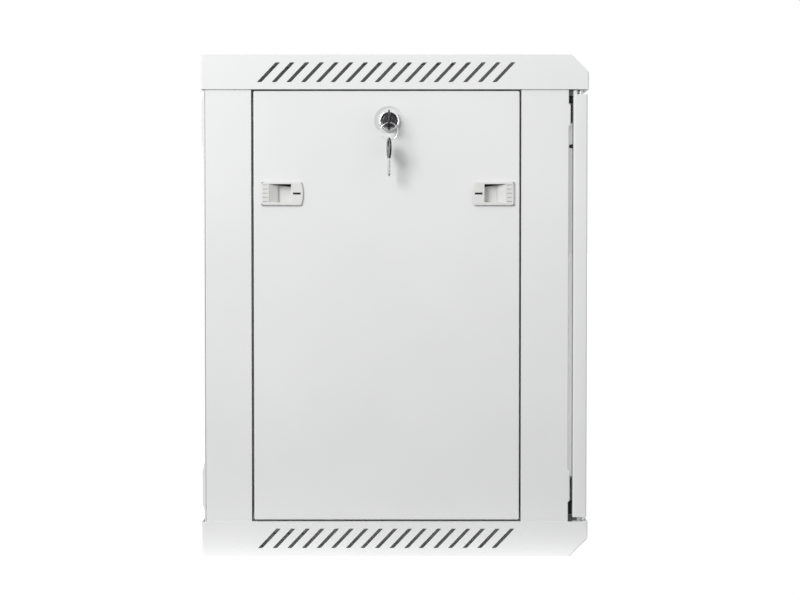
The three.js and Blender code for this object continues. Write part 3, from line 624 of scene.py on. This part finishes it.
def pan_head_screw(radius, height, shank, length):
    """A cross-recessed screw. Its head stands on z = 0 and its shank points along -z."""
    screw = lathe([
        (0, -length), (shank - 0.4, -length), *thread(shank, -length + 0.4, -0.1, 0.6),
        (shank, 0), (radius, 0), (radius, height * 0.35),
        *arc(radius - height * 0.65, height * 0.35, height * 0.65, 15, 90, 6), (0, height),
    ], 48)
    reach, half, bottom = radius * 0.62, radius * 0.13, height * 0.35

    def arm():
        return block((-reach, -half, bottom), (reach, half, height + 1))

    return cut(screw, arm(), moved(arm(), turn=90))


def cam_screw(depth):
    seat = -depth - CAM["thick"] - 0.4 - GAP
    return moved(pan_head_screw(5.0, 2.0, 1.5, 3.8), z=seat, turn=180, axis="X")


def key_bow():
    """A flat round bow with its hole at the origin, a dished thumb grip, and a neck for the blade."""
    bow, offset, hole, half = KEY["bow"], KEY["offset"], KEY["hole"], KEY["thick"] / 2
    neck_half = KEY["half"] + 1.2
    neck = math.degrees(math.asin(neck_half / bow))
    shoulder = -offset - bow
    round_part = arc(0, -offset, bow, -90 + neck, 270 - neck, 56)
    outline = [*round_part, (-neck_half, shoulder), (neck_half, shoulder)]
    eye = lathe([(0, -half - 1), (hole, -half - 1), (hole, half + 1), (0, half + 1)], 48)
    grip = moved(lathe([(0, -2), (3.3, -2), (3.7, 0.25), (0, 0.25)], 48), y=-offset - 5.2, z=-half)
    return moved(cut(prism(outline, -half, half), eye, grip), turn=90, axis="Y")


def key_blade():
    """A blade along -y with small cuts down both edges, a groove in each face and a blunt tip."""
    half, thick = KEY["half"], KEY["thick"] / 2 - 0.1
    shoulder = -KEY["offset"] - KEY["bow"] - 0.02
    tip = shoulder - KEY["blade"]
    edge = [(half, shoulder)]
    for k, depth in enumerate(KEY_CUTS["depths"]):
        y = shoulder - KEY_CUTS["first"] - k * KEY_CUTS["pitch"]
        edge += [(half, y + 0.8), (half - depth, y + 0.25), (half - depth, y - 0.25), (half, y - 0.8)]
    edge += [(half, tip + 2.6), (half - 2.0, tip + 0.2), (half - 2.4, tip)]
    outline = [*[(-x, y) for x, y in edge], *edge[::-1]]
    groove = block((-0.7, tip + 1.5, thick - 0.4), (0.7, shoulder + 1, thick + 1))
    far_groove = block((1.3, tip + 1.5, -thick - 1), (2.1, shoulder + 1, -thick + 0.4))
    return moved(cut(prism(outline, -thick, thick), groove, far_groove), turn=90, axis="Y")


def key_ring():
    """A split ring of two turns of wire, in the plane of x and y."""
    steps, turns, wire = 160, 2.0, RING["wire"]
    points = []
    for step in range(steps + 1):
        share = step / steps
        angle = 2 * math.pi * turns * share
        rise = (min(max(share * 2 - 0.5, 0), 1) - 0.5) * 2 * wire
        points.append((RING["radius"] * math.cos(angle), RING["radius"] * math.sin(angle), rise))
    return tube(points, wire - 0.01)


# ---- latches: z = 0 is the panel's outer face, and +x points to the pillar that the latch locks to ----
def latch_plate():
    """The latch's face: bowed at one end, with small corners at the other and a rounded rim."""
    inner, outer, half = LATCH["inner_end"] - LATCH["short"], LATCH["outer_end"], LATCH["half"]
    bow = LATCH["bow"]
    bowed = [(-inner + bow * share ** 2, -share * half) for share in (k / 8 - 1 for k in range(1, 16))]
    outline = [
        *bowed, (-inner + bow + 0.25, -half + 0.35), (-inner + bow + 1.2, -half),
        *arc(outer - 1, -half + 1, 1, -90, 0, 4), *arc(outer - 1, half - 1, 1, 0, 90, 4),
        (-inner + bow + 1.2, half), (-inner + bow + 0.25, half - 0.35),
    ]
    plate = prism(outline, GAP, LATCH["front"])
    bm = bmesh.new()
    bm.from_mesh(plate)
    rim = [edge for edge in bm.edges if all(corner.co.z > LATCH["front"] - 0.01 for corner in edge.verts)]
    bmesh.ops.bevel(bm, geom=rim, offset=LATCH["edge"], segments=3, profile=0.5, affect="EDGES")
    return mesh_from(bm)


def side_on(points, y0, y1):
    """An outline of (x, z) points, extruded from y0 to y1."""
    return moved(prism([(x, z) for x, z in points], -y1, -y0), turn=90, axis="X")


def latch_hollow():
    """The finger recess: a flat deep part beside the dash, a steep step, then a ramp to the far end."""
    x0, step, rise, x1, floor = (RECESS[name] for name in ("x0", "step", "rise", "x1", "floor"))
    top = LATCH["front"]
    return side_on([(x0, top + 1), (x0, floor + 0.8), (x0 + 0.8, floor), (step, floor),
                    (step + rise / 2, floor + rise), (x1, top - 0.2), (x1, top + 1)],
                   RECESS["y0"], RECESS["y1"])


def latch(to_edge):
    x0, step, rise, x1, y0, y1 = (RECESS[name] for name in ("x0", "step", "rise", "x1", "y0", "y1"))
    wall, floor, top = RECESS["wall"], RECESS["floor"], LATCH["front"]
    cup = side_on([(x0 - wall, GAP + 0.5), (x0 - wall, floor - wall), (step + wall / 2, floor - wall),
                   (step + wall / 2 + rise / 2, floor - wall + rise), (x1, GAP + 0.5)], y0 - wall, y1 + wall)
    tongue = block((0, -TONGUE["half"], TONGUE["z0"]), (to_edge + 1, TONGUE["half"], TONGUE["z1"]))
    keeper_z = -SHEET - GAP
    keepers = block((x0, y0 - wall - 2, keeper_z - 1.2), (0, y1 + wall + 2, keeper_z))
    slot = latch_wedge(x1 - 2, 0, floor - wall + 0.3, top + 1)
    dash = block((MARK["x0"], -MARK["half"], top - MARK["deep"]), (MARK["x1"], MARK["half"], top + 1))
    grooves = [
        block((RIBS["x0"], y - RIBS["half"], top - RIBS["deep"]), (RIBS["x1"], y + RIBS["half"], top + 1))
        for y in ((k - (RIBS["count"] - 1) / 2) * RIBS["pitch"] for k in range(RIBS["count"]))
    ]
    return cut(joined(latch_plate(), cup, tongue, keepers), latch_hollow(), slot, dash, *grooves)


def latch_wedge(x1, clear, z0, z1):
    """The wedge along the recess's top, tallest at the deep end, a little clear of its walls."""
    x0, far, y1 = RECESS["x0"], RECESS["x1"] - 2, RECESS["y1"]
    tip = 0.2
    height = tip + (RECESS_SLOT - tip) * (far - x1) / (far - x0)
    outline = [
        (x0 + clear, y1 - RECESS_SLOT + clear), (x1, y1 - height + clear),
        (x1, y1 - clear), (x0 + clear, y1 - clear),
    ]
    return prism(outline, z0, z1)


def latch_dash_and_painted_shade():
    """The dark fill of a latch's dash, which is a printed mark, and a dark sheet at the bottom of its wedge,
    which is painted shade.
    """
    low, high = LATCH["front"] - MARK["deep"] + 0.02, LATCH["front"] - 0.15
    clear = 0.02
    half = MARK["half"] - clear
    dash = block((MARK["x0"] + clear, -half, low), (MARK["x1"] - clear, half, high))
    # The dark sheet at the bottom of the wedge is painted shade, standing in for the shadow under the
    # recess's top wall.
    bottom = RECESS["floor"] - RECESS["wall"] + 0.32
    return gathered(dash, latch_wedge(RECESS["step"], clear, bottom, RECESS["floor"] - 0.1))


# ---- the door's hinges, bumpers and pads ----
def upper_hinge_pin(node):
    """The sprung pin, its collar, and the bent wire that pulls it down."""
    low, high = box_of(node)
    spring_low, spring_high = box_of("upper_hinge_spring")
    x, y = (spring_low.x + spring_high.x) / 2, (spring_low.y + spring_high.y) / 2
    collar = (spring_high.z + GAP, spring_high.z + GAP + 4)
    r = HINGE_PIN_RADIUS
    pin = lathe([
        (0, low.z), (r - 0.4, low.z), (r, low.z + 0.4), (r, collar[0]),
        (3.1, collar[0]), (3.4, collar[0] + 0.3), (3.4, collar[1] - 0.3), (3.1, collar[1]),
        (r, collar[1]), *arc(r - 1.2, high.z - 1.2, 1.2, 0, 90, 5), (0, high.z),
    ], 48)
    middle = (collar[0] + collar[1]) / 2
    reach = high.x - x
    finger = tube([(0, 0, middle), (reach - 2.4, 0, middle), (reach - 1.4, 0, middle - 0.15),
                   (reach - 1.0, 0, middle - 0.3)], 0.95, 16)
    mesh = joined(pin, finger)
    return weighted_normals(stand_in(node, mesh, "zinc_steel", Matrix.Translation((x, y, 0))))


def upper_hinge_spring(node):
    """A compression spring with closed ends. The real one shortens as the pin is pulled down; this mesh keeps
    one length.
    """
    low, high = box_of(node)
    wire = 0.42
    radius = (high.x - low.x) / 2 - wire - 0.1
    middle = (low + high) / 2
    turns, steps = 8.5, 204
    z0, z1 = low.z + wire, high.z - wire
    points = []
    for step in range(steps + 1):
        share = step / steps
        angle = 2 * math.pi * turns * share
        rise = min(max((share * turns - 1) / (turns - 2), 0), 1)
        points.append((radius * math.cos(angle), radius * math.sin(angle), z0 + (z1 - z0) * rise))
    spring = stand_in(node, tube(points, wire), "spring_steel", Matrix.Translation((middle.x, middle.y, 0)))
    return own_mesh(spring)


def lower_hinge_pin(node):
    low, high = box_of(node)
    x, y = (low.x + high.x) / 2, (low.y + high.y) / 2
    collar_top = box_of("door_frame")[0].z - GAP
    r, z0, z1 = HINGE_PIN_RADIUS, box_of("bottom_cover")[1].z + GAP, collar_top
    mesh = lathe([
        (0, low.z), (r - 0.4, low.z), (r, low.z + 0.4), (r, z0), (3.9, z0), (4.2, z0 + 0.3),
        (4.2, z1 - 0.3), (3.9, z1), (r, z1), *arc(r - 1.2, high.z - 1.2, 1.2, 0, 90, 5), (0, high.z),
    ], 48)
    return weighted_normals(stand_in(node, mesh, "zinc_steel", Matrix.Translation((x, y, 0))))


def door_bumper(node):
    """A domed rubber stud with a flange, pushed into the door's back."""
    low, high = box_of(node)
    radius, length = (high.x - low.x) / 2, high.y - low.y
    mesh = lathe([
        (0, 0), (radius, 0), (radius, 0.9), (radius - 0.35, 1.2), (radius - 0.4, length - 1.2),
        *arc(radius - 1.5, length - 1.1, 1.1, 5, 90, 6), (0, length),
    ], 40)
    middle = (low + high) / 2
    place = Matrix.Translation((middle.x, low.y, middle.z)) @ Matrix.Rotation(math.radians(-90), 4, "X")
    return weighted_normals(stand_in(node, mesh, "rubber", place))


def painted_shade_door_pad(node):
    """A square-cut rubber pad, its cut edges slightly rounded. Its black is painted shade for the dark seen
    in the door gap.
    """
    low, high = box_of(node)
    return softened(stand_in(node, block(low, high), "rubber"), 0.45)


# ---- assembly ----
def lock_set(prefix, place_of, depth, cam_turn):
    place = place_of(f"{prefix}_lock_body", LOCK["front"])
    body = stand_in(f"{prefix}_lock_body", lock_body(depth), "chrome", place)
    nut = stand_in(f"{prefix}_lock_nut", lock_nut(), "zinc_steel", place)
    plug = stand_in(f"{prefix}_lock_plug", lock_plug(depth), "dark_nickel", place)
    cam = stand_in(f"{prefix}_lock_cam", lock_cam(depth, cam_turn), "zinc_steel", place)
    screw = stand_in(f"{prefix}_lock_cam_screw", cam_screw(depth), "zinc_steel", place)
    for piece in (body, nut, screw):
        weighted_normals(piece)
    softened(plug, 0.12, segments=2)
    softened(cam, 0.25, segments=2)


def lock_depth(prefix, along):
    """How deep a lock's barrel reaches behind its panel, from its CAD box."""
    low, high = box_of(f"{prefix}_lock_body")
    return high[along] - low[along] - LOCK["front"] + 0.6


def keys():
    """The key in the left lock, the ring through its bow and the spare key that hangs from it."""
    upright = Matrix(((0, 0, -1, 0), (-1, 0, 0, 0), (0, 1, 0, 0), (0, 0, 0, 1)))
    low, high = box_of("panel_key")
    hole = Vector((low.x + KEY["bow"] - KEY["offset"], (low.y + high.y) / 2, (low.z + high.z) / 2))
    in_lock = Matrix.Translation(hole) @ upright @ Matrix.Rotation(math.radians(90), 4, "X")
    low, high = box_of("spare_key")
    hole = Vector(((low.x + high.x) / 2, (low.y + high.y) / 2, high.z - KEY["bow"] + KEY["offset"]))
    hanging = Matrix.Translation(hole) @ upright @ Matrix.Rotation(SPARE_KEY_TURN, 4, "Y")
    for node, place in (("panel_key", in_lock), ("spare_key", hanging)):
        softened(stand_in(node, key_bow(), "dark_nickel", place), 0.22, segments=2)
        softened(shown(f"{node}_blade", key_blade(), "zinc_steel", BODY_OF[node], place), 0.15, segments=2)
    low, high = box_of("key_ring")
    place = Matrix.Translation((low + high) / 2) @ Matrix.Rotation(math.radians(90), 4, "Y")
    weighted_normals(stand_in("key_ring", key_ring(), "chrome", place))


def latches(side):
    for name, toward in (("front", 1), ("rear", -1)):
        node = f"{side}_{name}_latch"
        low, high = box_of(node)
        place = side_place(node, side, LATCH["front"])
        if name == "front":
            place[1][3] = high.y - LATCH["inner_end"]
        else:
            place[1][3] = low.y + LATCH["inner_end"]
        mirror = Matrix.Diagonal((toward, 1, 1, 1))
        to_edge = high.y - low.y - LATCH["inner_end"] - 1
        softened(stand_in(node, latch(to_edge), "latch_plastic", place @ mirror), 0.22, segments=2)
        # The latch's printed dash, and the painted shade at the bottom of its wedge.
        shown(f"{node}_mark", latch_dash_and_painted_shade(), "rubber", BODY_OF[node], place @ mirror)


for node in ("top_cover", "bottom_cover", "top_cable_plate", "bottom_cable_plate", "fan_plate", "door_frame"):
    sheet_metal(node, "powder_coat", SHEET)
sheet_metal("back_panel", "powder_coat", SHEET, 1.0)
for node in ("upper_hinge_bracket", "lower_hinge_bracket"):
    sheet_metal(node, "zinc_steel", SHEET)
for side in ("left", "right"):
    sheet_metal(f"{side}_front_pillar", "powder_coat", FRAME_SHEET, 1.0)
    sheet_metal(f"{side}_rear_pillar", "powder_coat", FRAME_SHEET, 0.8)
    sheet_metal(f"{side}_side_panel", "powder_coat", SHEET, 1.6)
    sheet_metal(f"{side}_top_rail_bracket", "zinc_steel", FRAME_SHEET)
    sheet_metal(f"{side}_bottom_rail_bracket", "zinc_steel", FRAME_SHEET)
    sheet_metal(f"{side}_rack_rail", "zinc_steel", RAIL_SHEET, 2.6)
    sheet_metal(f"{side}_glass_strip", "zinc_steel", SHEET)
    rail_bolt(f"{side}_top_rail_bolt", side)
    rail_bolt(f"{side}_bottom_rail_bolt", side)
    door_bumper(f"{side}_door_bumper")
    latches(side)
    lock_set(side, lambda node, standout: side_place(node, side, standout), lock_depth(side, 0), 0)
sheet_metal("door_glass", "door_glass", SHEET, 1.0)
lock_set("door", door_place, lock_depth("door", 1), -90)
keys()
upper_hinge_pin("upper_hinge_pin")
upper_hinge_spring("upper_hinge_spring")
lower_hinge_pin("lower_hinge_pin")
# The pads' black stands in as painted shade for the dark in the door gap.
painted_shade_door_pad("upper_door_pad")
painted_shade_door_pad("lower_door_pad")
earth_stud("earth_stud")


# ---- stage, light and camera, in metres ----
def flat_mesh(name, half_x, half_y):
    """A flat rectangle about the origin."""
    mesh = bpy.data.meshes.new(name)
    corners = [(-half_x, -half_y, 0), (half_x, -half_y, 0), (half_x, half_y, 0), (-half_x, half_y, 0)]
    mesh.from_pydata(corners, [], [(0, 1, 2, 3)])
    return mesh


def floor():
    """A floor that runs to the horizon. Its own light makes it white, and its dark base reflects little."""
    reach = 30.0
    mesh = flat_mesh("floor", reach, reach)
    material, tree, shader = material_with("floor", {"Roughness": 0.9, "Specular IOR Level": 0.1})
    grain = noise(tree, 5, 2)
    tree.links.new(tint(tree, grain, (0.1, 0.1, 0.1), (0.12, 0.12, 0.12)), shader.inputs["Base Color"])
    shader.inputs["Emission Color"].default_value = (1, 1, 1, 1)
    shader.inputs["Emission Strength"].default_value = 1.0
    mesh.materials.append(material)
    plane = bpy.data.objects.new("floor", mesh)
    bpy.context.scene.collection.objects.link(plane)
    plane.location.z = cad_box[0].z - 0.0005


def white_world():
    world = bpy.data.worlds.new("studio")
    world.use_nodes = True
    background = world.node_tree.nodes["Background"]
    background.inputs["Color"].default_value = (1, 1, 1, 1)
    background.inputs["Strength"].default_value = 1.0
    bpy.context.scene.world = world


def aimed(obj, target):
    obj.rotation_mode = "QUATERNION"
    obj.rotation_quaternion = (target - obj.location).to_track_quat("-Z", "Y")


def softbox(name, location, target, size, power):
    light = bpy.data.lights.new(name, "AREA")
    light.shape = "RECTANGLE"
    light.size, light.size_y = size
    light.energy = power
    lamp = bpy.data.objects.new(name, light)
    bpy.context.scene.collection.objects.link(lamp)
    lamp.location = location
    aimed(lamp, target)


def dark_card(name, location, size):
    """A dark card flat on the floor, which the camera doesn't see. It keeps the floor's light off a side."""
    mesh = flat_mesh(name, size[0] / 2, size[1] / 2)
    material, tree, shader = material_with(name, {"Roughness": 1.0, "Specular IOR Level": 0.0})
    cloth = noise(tree, 4, 2)
    tree.links.new(tint(tree, cloth, (0.1, 0.1, 0.1), (0.12, 0.12, 0.12)), shader.inputs["Base Color"])
    mesh.materials.append(material)
    card = bpy.data.objects.new(name, mesh)
    bpy.context.scene.collection.objects.link(card)
    card.location = location
    card.visible_camera = False


def camera():
    """Looks square at the left side from about two metres, a little above its middle."""
    low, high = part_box("top_cover")
    distance, height, aim_height, aim_y = 1.993, 0.0723, 0.0062, -0.0053
    middle = (cad_box[0].z + cad_box[1].z) / 2
    data = bpy.data.cameras.new("camera")
    data.lens = 90.1
    data.sensor_width = 36
    viewer = bpy.data.objects.new("camera", data)
    bpy.context.scene.collection.objects.link(viewer)
    viewer.location = (low.x - distance, aim_y, middle + height)
    aimed(viewer, Vector((low.x, aim_y, middle + aim_height)))
    bpy.context.scene.camera = viewer


low, high = cad_box
left_middle = Vector((low.x, 0, (low.z + high.z) / 2))
floor()
white_world()
softbox("key", left_middle + Vector((-1.9, 1.36, 1.16)), left_middle, (1.1, 1.1), 53)
dark_card("floor_flag", Vector((low.x - 0.7503, 0, low.z - 0.0002)), (1.5, 2.6))
camera()
bpy.context.scene.view_settings.view_transform = "Standard"
